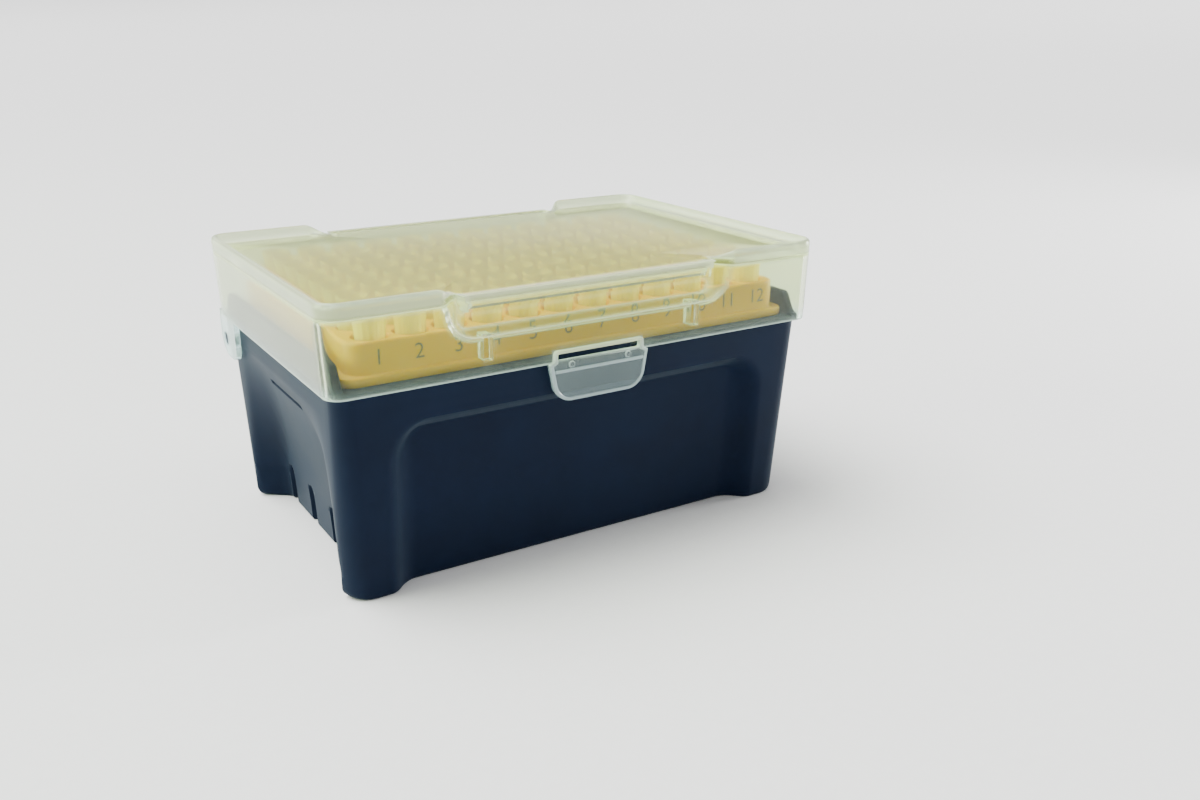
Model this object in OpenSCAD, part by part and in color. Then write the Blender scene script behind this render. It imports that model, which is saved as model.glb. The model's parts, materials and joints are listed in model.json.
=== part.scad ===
// Box of pipette tips: a base, a rack that drops into it, a hinged lid, and the tips.
// Millimetres, +Z up. The origin is the middle of the underside that the box stands on.
// The latch is on the -Y side and the hinge on the +Y side.

/* [Tip grid] */
// Distance between neighbouring tips
pitch = 9; // [8.6:0.1:11]
// Columns of tips along the box
columns = 12; // [9:1:16]
// Tips in one column
rows = 8; // [6:1:12]

/* [Tips] */
// Whole length of a tip
tip_len = 50.5; // [46:0.5:62]
// Length of the wide collar at the top of a tip
collar_len = 14.6; // [12:0.1:18]
// Outer radius at the mouth of a tip
tip_mouth_r = 3.55; // [2.9:0.05:4.3]
// Outer radius of the body just under the collar
tip_body_r = 2.25; // [1.9:0.05:2.7]
// Width of the step under the collar, which the tip sits on
seat_step = 0.53; // [0.4:0.01:0.65]
// Outer radius at the open point
tip_point_r = 0.38; // [0.32:0.02:0.46]
// Wall of a tip at its mouth
tip_wall = 0.8; // [0.6:0.05:1]

/* [Rack] */
// Height of the rack's block above the shelf it rests on
block_h = 9; // [7.5:0.5:11]
// Space from the last hole's mouth to the end of the block
block_end_margin = 2.2; // [1.8:0.1:4]
// Space from the last hole's mouth to the side of the block
block_side_margin = 0.5; // [0.4:0.1:2]
// Height of the flange round the foot of the block
flange_h = 2; // [1.5:0.1:3]
// How far the spigot reaches down into the base
spigot_depth = 2.5; // [2:0.1:4]
// Thickness of the web that the collars stand on
seat_web = 2.1; // [1.2:0.1:2.4]

/* [Base] */
// Floor of the base
floor_t = 2; // [1.2:0.1:3]
// Free height between the tip points and the floor
point_gap = 10.7; // [4:0.1:16]
// Wall of the base
base_wall = 1.4; // [1:0.1:1.6]
// Thickness of the shelf that carries the rack
shelf_t = 1.6; // [1.2:0.1:2.4]
// Draft of the long walls, in degrees
long_draft = 4.1; // [2:0.1:4.5]
// Draft of the short walls, in degrees
end_draft = 1.2; // [0.5:0.1:2]
// Corner radius of the base at the shelf
base_top_r = 4.5; // [3:0.1:6]
// Corner radius of the base at the floor
base_foot_r = 6; // [4:0.1:8]

/* [Base panels] */
// Width of a corner pillar, seen on a long side
long_pillar_w = 12.5; // [11:0.5:16]
// Depth of the sunken panels on the long sides
long_panel_depth = 4; // [2:0.1:4.4]
// Height from the shelf down to the top of a long panel
long_panel_drop = 8.2; // [7:0.1:12]
// Width of a corner pillar, seen on a short side
end_pillar_w = 8.5; // [8:0.1:12]
// Depth of the sunken panels on the short sides
end_panel_depth = 7; // [5:0.1:7.6]
// Height from the shelf down to the top of a short panel
end_panel_drop = 6.5; // [6:0.1:10]
// Radius at the top corners of the panels
panel_r = 10; // [6:0.5:12]
// Width of the grooves at the foot of the short panels
groove_w = 4; // [3:0.1:5]
// Height of those grooves
groove_h = 10.5; // [6:0.1:12.6]
// Height of the upstands that keep the rack between them
upstand_h = 5.5; // [4:0.1:6.6]

/* [Lid] */
// Wall of the lid
lid_wall = 1.3; // [1:0.1:1.6]
// Outer corner radius of the lid
lid_r = 4; // [3:0.1:6]
// Thickness of the lid's top plate
plate_t = 1.4; // [1:0.1:2]
// Free height between the tips and the top plate
headroom = 1.5; // [1:0.1:4]
// Height of the stacking rim above the top plate
rim_h = 2.3; // [1.5:0.1:3.5]
// How far the lid reaches down over the base
lid_overlap = 0.8; // [0.5:0.1:1.4]
// Distance from each end of the lid to the finger scoop
scoop_margin = 24.3; // [20:0.1:30]
// Corner radius of the scoop
scoop_r = 5; // [3:0.5:6]
// Distance of the two front ribs from the middle
rib_x = 27; // [20:0.5:30]

/* [Hinge and latch] */
// Radius of the hinge pins
pin_r = 1.75; // [1.5:0.05:2.1]
// Height from the lid's lower edge down to the hinge axis
hinge_drop = 5.7; // [5:0.1:6.5]
// Distance from the outside of the base to the hinge axis
hinge_inset = 3.5; // [3:0.1:4.5]
// Half width of the latch plate at its top
latch_half_w = 12.9; // [11:0.1:16]
// How far the latch tab hangs below the lid's lower edge
latch_drop = 8.9; // [7:0.1:10]

/* [Clearances] */
// Between a tip's mouth and its hole in the rack
tip_clear = 0.15; // [0.1:0.05:0.3]
// Between a tip's body and the hole through its seat
body_clear = 0.2; // [0.1:0.05:0.3]
// Between the outer tips and the walls of the base
side_clear = 0.5; // [0.4:0.05:1]
// Between the rack and what it fits into
rack_clear = 0.35; // [0.2:0.05:0.6]
// Between the lid and the base
lid_clear = 0.3; // [0.3:0.05:0.6]
// Between the scoop and the tips that it swings past
swing_clear = 0.3; // [0.3:0.05:0.6]
// Between a hinge pin and its hole, on the radius
pin_clear = 0.08; // [0.03:0.01:0.1]

/* [Hidden] */

$fn = 64;
over = 2;      // how far a cut runs past the surface that it opens
slab = 0.02;   // thickness of the slices that a drafted block is hulled from

// Rack, across the box
bore_r = tip_mouth_r + tip_clear;
mouth_bevel = 0.4;
mouth_r = bore_r + mouth_bevel;
collar_seat_r = tip_body_r + seat_step;
through_r = tip_body_r + body_clear;
block_half_x = (columns - 1) * pitch / 2 + mouth_r + block_end_margin;
block_half_y = (rows - 1) * pitch / 2 + mouth_r + block_side_margin;
block_r = 3.5;
flange_half_x = block_half_x + 2.1;
flange_half_y = block_half_y + 1.1;
flange_r = 3;
spigot_half_x = (columns - 1) * pitch / 2 + through_r + 1.4;
spigot_half_y = (rows - 1) * pitch / 2 + through_r + 1.05;

// Heights, from the tips outwards
seat_z = floor_t + point_gap + tip_len - collar_len;
shelf_z = seat_z + spigot_depth - seat_web;
block_top_z = shelf_z + block_h;
tip_top_z = seat_z + collar_len;
plate_z = tip_top_z + headroom;
plate_top_z = plate_z + plate_t;
lid_top_z = plate_top_z + rim_h;
lid_foot_z = shelf_z - lid_overlap;

// Body of a tip: distance below its seat, outer radius, inner radius
body_len = tip_len - collar_len;
tip_rings = [
    [0, tip_body_r, 0.8 * tip_body_r],
    [0.18 * body_len, 0.89 * tip_body_r, 0.68 * tip_body_r],
    [0.38 * body_len, 0.7 * tip_body_r, 0.5 * tip_body_r],
    [0.72 * body_len, 0.41 * tip_body_r, 0.25 * tip_body_r],
    [body_len, tip_point_r, 0.5 * tip_point_r]
];

// Base, across the box. Its walls stand clear of the rack's foot and of the outer tips.
upstand_t = 2;
upstand_in_x = flange_half_x + rack_clear;
long_panel_top = shelf_z - long_panel_drop;
long_brow = 3.5;
end_panel_top = shelf_z - end_panel_drop;
end_brow = 0.56 * end_panel_top;
base_half_x = max(
    upstand_in_x + upstand_t + 0.75,
    (columns - 1) * pitch / 2 + end_panel_depth
        + room_beside_tips(end_draft, end_panel_top - end_brow)
);
base_half_y = max(
    flange_half_y + 3.3,
    (rows - 1) * pitch / 2 + long_panel_depth
        + room_beside_tips(long_draft, long_panel_top - long_brow)
);
foot_half_x = base_half_x - shelf_z * tan(end_draft);
foot_half_y = base_half_y - shelf_z * tan(long_draft);
long_panel_half = base_half_x - long_pillar_w;
long_flank = 4.5;
end_panel_half = base_half_y - end_pillar_w;
end_flank = 6;
grooves = 4;
groove_depth = 1;
groove_step = 2 * (end_panel_half - end_flank - 2.6) / (grooves - 1);

// Lid, across the box
lid_half_x = base_half_x + lid_clear + lid_wall;
lid_half_y = base_half_y + lid_clear + lid_wall;
rib_w = 2.2;

// Hinge
hinge_y = base_half_y - hinge_inset;
hinge_z = lid_foot_z - hinge_drop;
lug_front_y = hinge_y - 9;
lug_foot_z = hinge_z - 4.2;
lug_r = 3.2;

// Scoops. Their depth leaves room for the block, and for the front tips when the lid swings.
scoop_z = block_top_z - 1;
scoop_wall = 1.2;
scoop_clear = 0.8;
scoop_lean = 0.275;
ledge_rise = 1;
tip_swing_r = norm([
    hinge_y + (rows - 1) * pitch / 2 + tip_mouth_r,
    tip_top_z - hinge_z
]);
scoop_foot_drop = scoop_z - scoop_wall + ledge_rise - hinge_z;
scoop_swing_y = sqrt(pow(tip_swing_r + swing_clear, 2) - pow(scoop_foot_drop, 2)) - hinge_y;
scoop_depth = lid_half_y - scoop_wall - max(block_half_y + scoop_clear, scoop_swing_y);
scoop_half = lid_half_x - scoop_margin;

// Latch
latch_t = 1.2;
latch_proud = 0.7;
latch_foot_half = latch_half_w - 1.6;
latch_r = 3.8;
latch_face_y = -lid_half_y - latch_proud;
latch_back_y = latch_face_y + latch_t;
latch_top_z = lid_foot_z + 3.2;
latch_foot_z = lid_foot_z - latch_drop;
window_half = latch_half_w - 2.5;
window_low_z = lid_foot_z + 0.7;
window_high_z = lid_foot_z + 2.3;
catch_half = window_half - 0.8;
catch_proud = 0.5;
catch_top_z = window_high_z - 0.3;

function tips_name(i) = str("tips_column_", i < 10 ? "0" : "", i);
function column_x(i) = (i - (columns + 1) / 2) * pitch;
function row_y(j) = (j - (rows + 1) / 2) * pitch;
// From the axis of the outer tips to the outside of the base, panel depth left out:
// the most that is needed at any height from the tip points up to full, where a panel has its depth
function room_beside_tips(draft, full) =
    let (
        line = [for (ring = tip_rings) [seat_z - ring[0], ring[1]]],
        heights = concat([full], [for (p = line) p[0]]),
        reach = [for (z = heights) if (z <= full) lookup(z, line) + (shelf_z - z) * tan(draft)]
    )
    max(reach) + side_clear + base_wall;
function half_x_at(z) = foot_half_x + z * tan(end_draft);
function half_y_at(z) = foot_half_y + z * tan(long_draft);

// Flat outline with round corners, about the origin
module rounded_rect(half_x, half_y, r) {
    square([2 * (half_x - r), 2 * half_y], center = true);
    square([2 * half_x, 2 * (half_y - r)], center = true);
    for (sx = [-1, 1], sy = [-1, 1])
        translate([sx * (half_x - r), sy * (half_y - r)])
            circle(r);
}

// Upright plate with round corners, from z0 to z1
module rounded_block(half_x, half_y, r, z0, z1) {
    translate([0, 0, z0])
        linear_extrude(z1 - z0)
            rounded_rect(half_x, half_y, r);
}

// Outline in Y and Z, drawn across the whole width from -half_x to half_x
module across_x(half_x) {
    rotate([90, 0, 90])
        linear_extrude(2 * half_x, center = true)
            children();
}

// Outline in X and Z, drawn along Y from y0 to y1
module along_y(y0, y1) {
    translate([0, y1, 0])
        rotate([90, 0, 0])
            linear_extrude(y1 - y0)
                children();
}

// The base's tapering envelope, moved in by inset, from z0 to z1
module drafted_block(inset, z0, z1) {
    hull()
        for (z = [z0, z1 - slab], sx = [-1, 1], sy = [-1, 1]) {
            r = base_foot_r + (base_top_r - base_foot_r) * z / shelf_z - inset;
            translate([
                sx * (half_x_at(z) - inset - r),
                sy * (half_y_at(z) - inset - r),
                z
            ])
                cylinder(r = r, h = slab, $fn = 32);
        }
}

// Sunken panel on a wall: the wall's face is y = 0 and +Y goes into it.
// flank is the width of its sloping sides, and brow the height of its sloping top.
// grow swells the shape, so that the cavity behind it keeps a wall of that thickness.
module panel_cut(half, flank, depth, top, brow, grow) {
    h = half + grow;
    d = depth + grow;
    t = top + grow;
    intersection() {
        along_y(-over, d)
            intersection() {
                translate([0, t - 2 * panel_r - over])
                    rounded_rect(h, 2 * panel_r + over, panel_r);
                translate([-h, t - 2 * panel_r])
                    square([2 * h, 2 * panel_r]);
            }
        panel_plan(h, flank, d, t);
        panel_side(h, d, t, brow);
    }
    intersection() {
        along_y(-over, d)
            translate([-h, -over])
                square([2 * h, t - 2 * panel_r + over]);
        panel_plan(h, flank, d, t);
        panel_side(h, d, t, brow);
    }
}

// Sloping flanks of a panel, seen from above
module panel_plan(h, flank, d, t) {
    translate([0, 0, -over])
        linear_extrude(t + 2 * over)
            polygon([
                [-h, -over],
                [h, -over],
                [h, 0],
                [h - flank, d],
                [flank - h, d],
                [-h, 0]
            ]);
}

// Sloping top of a panel, seen from the side
module panel_side(h, d, t, brow) {
    across_x(h + over)
        polygon([
            [-over, -over],
            [d, -over],
            [d, t - brow],
            [0, t],
            [-over, t]
        ]);
}

// Grooves at the foot of a short panel, in the same frame as panel_cut
module groove_cuts(grow) {
    for (k = [0 : grooves - 1])
        translate([
            (k - (grooves - 1) / 2) * groove_step - groove_w / 2 - grow,
            end_panel_depth - 0.5,
            -over
        ])
            cube([groove_w + 2 * grow, 0.5 + groove_depth + grow, groove_h + grow + over]);
}

// All four panels, with the grooves
module panels(grow) {
    for (turn = [0, 180])
        rotate([0, 0, turn])
            translate([0, -foot_half_y, 0])
                rotate([long_draft, 0, 0])
                    panel_cut(
                        long_panel_half, long_flank, long_panel_depth,
                        long_panel_top, long_brow, grow
                    );
    for (turn = [90, 270])
        rotate([0, 0, turn])
            translate([0, -foot_half_x, 0])
                rotate([end_draft, 0, 0]) {
                    panel_cut(
                        end_panel_half, end_flank, end_panel_depth,
                        end_panel_top, end_brow, grow
                    );
                    groove_cuts(grow);
                }
}

// Upright walls on the short sides, with sloping ends
module upstands() {
    foot_y = base_half_y - 2.5;
    for (sx = [-1, 1])
        translate([sx * (upstand_in_x + upstand_t / 2), 0, 0])
            across_x(upstand_t / 2)
                polygon([
                    [-foot_y, shelf_z - shelf_t / 2],
                    [foot_y, shelf_z - shelf_t / 2],
                    [foot_y, shelf_z],
                    [foot_y - 2.4, shelf_z + 2],
                    [foot_y - 3.4, shelf_z + upstand_h],
                    [3.4 - foot_y, shelf_z + upstand_h],
                    [2.4 - foot_y, shelf_z + 2],
                    [-foot_y, shelf_z]
                ]);
}

// Ridge on the front edge that the latch window fits round
module latch_catch() {
    front_y = -base_half_y;
    across_x(catch_half)
        polygon([
            [front_y + 0.3, lid_foot_z - 1],
            [front_y - catch_proud, lid_foot_z + 0.6],
            [front_y - catch_proud, catch_top_z - 0.6],
            [front_y, catch_top_z],
            [front_y + 1.3, catch_top_z],
            [front_y + 1.3, lid_foot_z - 1]
        ]);
}

// Pins that the lid turns on, one at each end
module hinge_pins() {
    inner_x = base_half_x - 2.4;
    outer_x = lid_half_x - 0.2;
    for (sx = [-1, 1])
        translate([sx * (inner_x + outer_x) / 2, hinge_y, hinge_z])
            rotate([0, 90, 0])
                cylinder(r = pin_r, h = outer_x - inner_x, center = true);
}

module base() {
    color("#1d2b44") {
        difference() {
            drafted_block(0, 0, shelf_z);
            difference() {
                drafted_block(base_wall, floor_t, shelf_z - shelf_t);
                panels(base_wall);
            }
            rounded_block(
                spigot_half_x + rack_clear, spigot_half_y + rack_clear, 2.5,
                shelf_z - shelf_t - 0.5, shelf_z + over
            );
            panels(0);
        }
        upstands();
        latch_catch();
        hinge_pins();
    }
}

// One hole of the rack: bevelled mouth, bore, and the smaller hole through the seat
module rack_hole() {
    translate([0, 0, block_top_z - mouth_bevel])
        cylinder(r1 = bore_r, r2 = mouth_r + mouth_bevel, h = 2 * mouth_bevel);
    translate([0, 0, seat_z])
        cylinder(r = bore_r, h = block_top_z - seat_z);
    translate([0, 0, shelf_z - spigot_depth - over])
        cylinder(r = through_r, h = seat_web + over + 0.5);
}

module rack() {
    color("#d9bd62")
        difference() {
            union() {
                rounded_block(block_half_x, block_half_y, block_r, shelf_z, block_top_z);
                rounded_block(flange_half_x, flange_half_y, flange_r, shelf_z, shelf_z + flange_h);
                rounded_block(
                    spigot_half_x, spigot_half_y, 2.2,
                    shelf_z - spigot_depth, shelf_z + flange_h
                );
            }
            for (i = [1 : columns], j = [1 : rows])
                translate([column_x(i), row_y(j), 0])
                    rack_hole();
        }
}

// Half section of one tip, with the mouth at the top and the seat at height 0.
// The fine ribs on the collar lie inside its outer line.
module tip_section() {
    last = len(tip_rings) - 1;
    polygon(concat(
        [
            [tip_mouth_r - tip_wall, collar_len],
            [tip_mouth_r, collar_len],
            [collar_seat_r, 0]
        ],
        [for (k = [0 : last]) [tip_rings[k][1], -tip_rings[k][0]]],
        [for (k = [last : -1 : 0]) [tip_rings[k][2], -tip_rings[k][0]]]
    ));
}

module tips_column(i) {
    color("#e9ecec")
        for (j = [1 : rows])
            translate([column_x(i), row_y(j), seat_z])
                rotate_extrude()
                    tip_section();
}

// Finger scoop in a long wall of the lid: the wall's face is y = 0 and +Y goes into it.
// grow swells the shape, so that the wall behind it keeps that thickness.
module scoop_cut(grow) {
    h = scoop_half + grow;
    d = scoop_depth + grow;
    low = scoop_z - grow;
    high = lid_top_z + over;
    reach = high - low;
    intersection() {
        along_y(-over, d)
            intersection() {
                offset(r = scoop_r)
                    offset(delta = -scoop_r)
                        polygon([
                            [-h - scoop_lean * scoop_r, high + scoop_r],
                            [h + scoop_lean * scoop_r, high + scoop_r],
                            [h - scoop_lean * (reach - over), low],
                            [scoop_lean * (reach - over) - h, low]
                        ]);
                translate([-2 * h, low])
                    square([4 * h, reach]);
            }
        translate([0, 0, low - over])
            linear_extrude(reach + 2 * over)
                polygon([
                    [-h, -over],
                    [h, -over],
                    [h, 0],
                    [h - scoop_depth, d],
                    [scoop_depth - h, d],
                    [-h, 0]
                ]);
        across_x(2 * h)
            polygon([
                [-over, low],
                [0, low],
                [d, low + ledge_rise],
                [d, high],
                [-over, high]
            ]);
    }
}

module scoops(grow) {
    for (turn = [0, 180])
        rotate([0, 0, turn])
            translate([0, -lid_half_y, 0])
                scoop_cut(grow);
}

// Ears at the hinge end: the lid's own outline carried down past its lower edge
module hinge_lugs() {
    intersection() {
        rounded_block(lid_half_x, lid_half_y, lid_r, lug_foot_z, lid_foot_z + 1);
        difference() {
            across_x(lid_half_x + over)
                union() {
                    translate([lug_front_y + lug_r, lug_foot_z])
                        square([lid_half_y - lug_front_y - 2 * lug_r, lug_r]);
                    translate([lug_front_y, lug_foot_z + lug_r])
                        square([lid_half_y - lug_front_y, lid_foot_z + 1 - lug_foot_z - lug_r]);
                    for (y = [lug_front_y + lug_r, lid_half_y - lug_r])
                        translate([y, lug_foot_z + lug_r])
                            circle(lug_r);
                }
            translate([-(lid_half_x - lid_wall), lug_front_y - over, lug_foot_z - over])
                cube([
                    2 * (lid_half_x - lid_wall),
                    lid_half_y - lug_front_y + 2 * over,
                    lid_foot_z - lug_foot_z + 2 * over
                ]);
        }
    }
}

// Plate on the front wall that carries the window and the pull tab
module latch_plate() {
    along_y(latch_face_y, latch_back_y)
        intersection() {
            offset(r = latch_r)
                offset(delta = -latch_r)
                    polygon([
                        [-latch_half_w, latch_top_z + latch_r],
                        [latch_half_w, latch_top_z + latch_r],
                        [latch_half_w, lid_foot_z],
                        [latch_foot_half, latch_foot_z],
                        [-latch_foot_half, latch_foot_z],
                        [-latch_half_w, lid_foot_z]
                    ]);
            translate([-latch_half_w, latch_foot_z])
                square([2 * latch_half_w, latch_top_z - latch_foot_z]);
        }
    for (sx = [-1, 1])
        translate([sx * 7.4, latch_face_y + 0.5, lid_foot_z - 0.4])
            rotate([90, 0, 0])
                cylinder(r = 0.75, h = 0.9);
    translate([-latch_foot_half, latch_face_y - 0.3, lid_foot_z - 2.1])
        cube([2 * latch_foot_half, 0.8, 0.7]);
}

// Opening that the catch shows through, with the wall behind it cut back to let the catch pass
module latch_window() {
    translate([-window_half, latch_face_y - over, window_low_z])
        cube([2 * window_half, lid_wall + 2 * over, window_high_z - window_low_z]);
    translate([-window_half - 0.4, latch_back_y, lid_foot_z - over])
        cube([2 * window_half + 0.8, lid_wall + over, window_high_z - lid_foot_z + over]);
}

// Ribs that stiffen the front wall under the scoop, ending just above the flange of the rack
module front_ribs() {
    rib_foot_z = shelf_z + flange_h + lid_clear;
    for (sx = [-1, 1])
        translate([sx * rib_x - rib_w / 2, -lid_half_y + lid_wall - 0.3, rib_foot_z])
            cube([rib_w, scoop_depth - lid_wall + 0.6, scoop_z - scoop_wall + 0.6 - rib_foot_z]);
}

module lid() {
    color("#d5dcd8", 0.6)
        difference() {
            union() {
                difference() {
                    rounded_block(lid_half_x, lid_half_y, lid_r, lid_foot_z, lid_top_z);
                    difference() {
                        rounded_block(
                            lid_half_x - lid_wall, lid_half_y - lid_wall, lid_r - lid_wall,
                            lid_foot_z - over, plate_z
                        );
                        scoops(scoop_wall);
                    }
                    rounded_block(
                        lid_half_x - lid_wall, lid_half_y - lid_wall, lid_r - lid_wall,
                        plate_top_z, lid_top_z + over
                    );
                    scoops(0);
                }
                front_ribs();
                hinge_lugs();
                latch_plate();
            }
            latch_window();
            translate([0, hinge_y, hinge_z])
                rotate([0, 90, 0])
                    cylinder(r = pin_r + pin_clear, h = 2 * lid_half_x + over, center = true);
        }
}

base();
rack();
lid();
for (i = [1 : columns])
    tips_column(i);
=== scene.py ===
import json
import math

import bmesh
import bpy
from mathutils import Matrix, Vector


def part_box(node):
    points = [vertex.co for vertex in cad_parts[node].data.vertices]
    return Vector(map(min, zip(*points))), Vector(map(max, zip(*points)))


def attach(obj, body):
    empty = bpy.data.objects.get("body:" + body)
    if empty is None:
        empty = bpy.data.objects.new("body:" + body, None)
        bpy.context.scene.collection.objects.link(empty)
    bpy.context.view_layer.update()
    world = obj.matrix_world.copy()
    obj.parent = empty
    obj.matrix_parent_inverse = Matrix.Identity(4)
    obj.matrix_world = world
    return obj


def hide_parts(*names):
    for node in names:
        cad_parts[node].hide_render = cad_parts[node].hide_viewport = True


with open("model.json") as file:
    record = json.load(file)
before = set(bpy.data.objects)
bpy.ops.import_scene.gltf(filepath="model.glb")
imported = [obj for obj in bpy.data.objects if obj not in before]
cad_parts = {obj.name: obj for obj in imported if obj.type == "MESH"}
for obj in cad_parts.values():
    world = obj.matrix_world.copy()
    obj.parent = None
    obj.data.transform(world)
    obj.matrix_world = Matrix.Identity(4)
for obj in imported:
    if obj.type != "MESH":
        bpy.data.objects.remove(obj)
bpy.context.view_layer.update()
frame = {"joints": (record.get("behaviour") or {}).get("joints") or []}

mm = 0.001
caseBody = "case"
lidBody = "lid"


def inMm(spot):
    # a place of the frame in mm, without the last digits of a float
    return [round(v / mm, 2) for v in spot]


# where the CAD nodes that the pieces below stand for begin and end, and the line of the hinge
baseTop = inMm(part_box("base")[1])[2]
rackUnder, rackTop = [inMm(corner)[2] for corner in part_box("rack")]
tipTop = inMm(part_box("tips_column_01")[1])[2]
lidLow, lidHigh = map(inMm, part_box("lid"))
hingeY, hingeZ = inMm(next(joint for joint in frame["joints"] if joint["name"] == "lid_hinge")["pos_m"])[1:]


def quiet():
    # object mode with nothing selected, so an operator only acts on what it is given
    if bpy.context.object and bpy.context.object.mode != "OBJECT":
        bpy.ops.object.mode_set(mode="OBJECT")
    bpy.ops.object.select_all(action="DESELECT")


def pick(piece):
    quiet()
    piece.select_set(True)
    bpy.context.view_layer.objects.active = piece


def keepPlace(name):
    # names the new primitive and puts its place and size into its mesh
    piece = bpy.context.object
    piece.name = piece.data.name = name
    bpy.ops.object.transform_apply(location=True, rotation=True, scale=True)
    return piece


def choose(piece, kind, test):
    # edit mode: selects only the vertices, edges or faces that pass the test
    bpy.ops.mesh.select_mode(type=kind)
    bpy.ops.mesh.select_all(action="DESELECT")
    mesh = bmesh.from_edit_mesh(piece.data)
    for part in {"VERT": mesh.verts, "EDGE": mesh.edges, "FACE": mesh.faces}[kind]:
        if test(part):
            part.select_set(True)
    mesh.select_flush_mode()
    bmesh.update_edit_mesh(piece.data)


def span(edge, axis):
    # how far an edge runs along one axis
    return abs(edge.verts[0].co[axis] - edge.verts[1].co[axis])


def roundEdges(piece, size, steps, test):
    # edit mode: bevels the edges that pass the test, size in mm
    choose(piece, "EDGE", test)
    bpy.ops.mesh.bevel(offset=size * mm, segments=steps, affect="EDGES")


def moveEach(piece, move):
    # edit mode: every vertex is handed to move()
    mesh = bmesh.from_edit_mesh(piece.data)
    for v in mesh.verts:
        move(v)
    bmesh.update_edit_mesh(piece.data)


def cutAt(axis, places):
    # edit mode: cuts across one axis at places in mm
    for place in places:
        bpy.ops.mesh.select_all(action="SELECT")
        spot, way = [0, 0, 0], [0, 0, 0]
        spot[axis], way[axis] = place * mm, 1
        bpy.ops.mesh.bisect(plane_co=spot, plane_no=way)


def mirrored(places):
    return sorted({round(side * place, 4) for place in places for side in (-1, 1)})


def ringOf(name, sides, radius):
    # an open ring of edges, left selected in edit mode
    quiet()
    bpy.ops.mesh.primitive_circle_add(vertices=sides, radius=radius, fill_type="NOTHING")
    ring = keepPlace(name)
    bpy.ops.object.mode_set(mode="EDIT")
    bpy.ops.mesh.select_mode(type="EDGE")
    bpy.ops.mesh.select_all(action="SELECT")
    return ring


def growRings(count):
    # more rings, each a metre above the last, so that a vertex's height tells which ring it is in
    for step in range(count):
        bpy.ops.mesh.extrude_region_move(TRANSFORM_OT_translate={"value": (0, 0, 1)})


def closeWithBridge(piece):
    choose(piece, "EDGE", lambda e: e.is_boundary)
    bpy.ops.mesh.bridge_edge_loops()
    bpy.ops.object.mode_set(mode="OBJECT")


def ease(t, soft, hard):
    # 0 to 1: a rounded start, a straight slope and a rounded end
    t = min(max(t, 0.0), 1.0)
    slope = 1 / (1 - (soft + hard) / 2)
    if t < soft:
        return slope * t * t / (2 * soft)
    if t > 1 - hard:
        return 1 - slope * (1 - t) ** 2 / (2 * hard)
    return slope * (t - soft / 2)


def wallTube(name, outline, cutsX, cutsY, levels):
    # an upright tube with rounded corners and a ring of vertices for each level, both ends closed,
    # which fold() then lays along the walls of a moulding
    halfX, halfY, corner = outline
    quiet()
    bpy.ops.mesh.primitive_cube_add(size=2, location=(0, 0, 0.5), scale=(halfX * mm, halfY * mm, 0.5))
    tube = keepPlace(name)
    bpy.ops.object.mode_set(mode="EDIT")
    roundEdges(tube, corner, 8, lambda e: span(e, 2) > 0.5)
    choose(tube, "FACE", lambda f: abs(f.normal.z) > 0.5)
    bpy.ops.mesh.delete(type="ONLY_FACE")
    cutAt(0, mirrored(cutsX))
    cutAt(1, mirrored(cutsY))
    choose(tube, "EDGE", lambda e: e.is_boundary and min(v.co.z for v in e.verts) > 0.5)
    growRings(levels - 2)
    for low, high in ((-0.5, 0.5), (levels - 1.5, levels - 0.5)):
        choose(tube, "EDGE", lambda e: e.is_boundary and all(low < v.co.z < high for v in e.verts))
        bpy.ops.mesh.edge_face_add()
    return tube


def stretch(v, flat, newFlat, core):
    # the middle of a straight wall stays put and only its ends give
    if newFlat <= core or abs(v) <= core:
        return v if newFlat > core else v * newFlat / flat
    return math.copysign(core + (abs(v) - core) * (newFlat - core) / (flat - core), v)


def onRing(x, y, start, ring, core):
    # a spot of the starting outline on another rounded outline, and its way out
    flatX, flatY = start[0] - start[2], start[1] - start[2]
    newX, newY = ring[0] - ring[2], ring[1] - ring[2]
    sideX, sideY = math.copysign(1, x), math.copysign(1, y)
    if abs(x) <= flatX + 1e-6:
        return stretch(x, flatX, newX, core[0]), sideY * ring[1], 0.0, sideY
    if abs(y) <= flatY + 1e-6:
        return sideX * ring[0], stretch(y, flatY, newY, core[1]), sideX, 0.0
    turn = math.atan2(abs(y) - flatY, abs(x) - flatX)
    outX, outY = sideX * math.cos(turn), sideY * math.sin(turn)
    return sideX * newX + ring[2] * outX, sideY * newY + ring[2] * outY, outX, outY


def faceOut():
    # a thin shell can come out of the operator inside-out, which its signed volume tells
    bpy.ops.mesh.select_mode(type="VERT")
    bpy.ops.mesh.select_all(action="SELECT")
    bpy.ops.mesh.normals_make_consistent(inside=False)
    if bmesh.from_edit_mesh(bpy.context.object.data).calc_volume(signed=True) < 0:
        bpy.ops.mesh.flip_normals()


def fold(tube, place):
    def lay(v):
        v.co = Vector(place(round(v.co.z), v.co.x / mm, v.co.y / mm)) * mm

    moveEach(tube, lay)
    faceOut()
    bpy.ops.object.mode_set(mode="OBJECT")


def bar(name, low, high, rounding=0.0, along=None):
    # a small block between two corners in mm; along rounds only the edges that run that way
    quiet()
    bpy.ops.mesh.primitive_cube_add(
        size=1,
        location=[(a + b) / 2 * mm for a, b in zip(low, high)],
        scale=[(b - a) * mm for a, b in zip(low, high)],
    )
    piece = keepPlace(name)
    if rounding:
        bpy.ops.object.mode_set(mode="EDIT")
        roundEdges(piece, rounding, 3, lambda e: along is None or span(e, along) > 1e-5)
        bpy.ops.object.mode_set(mode="OBJECT")
    return piece


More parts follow.
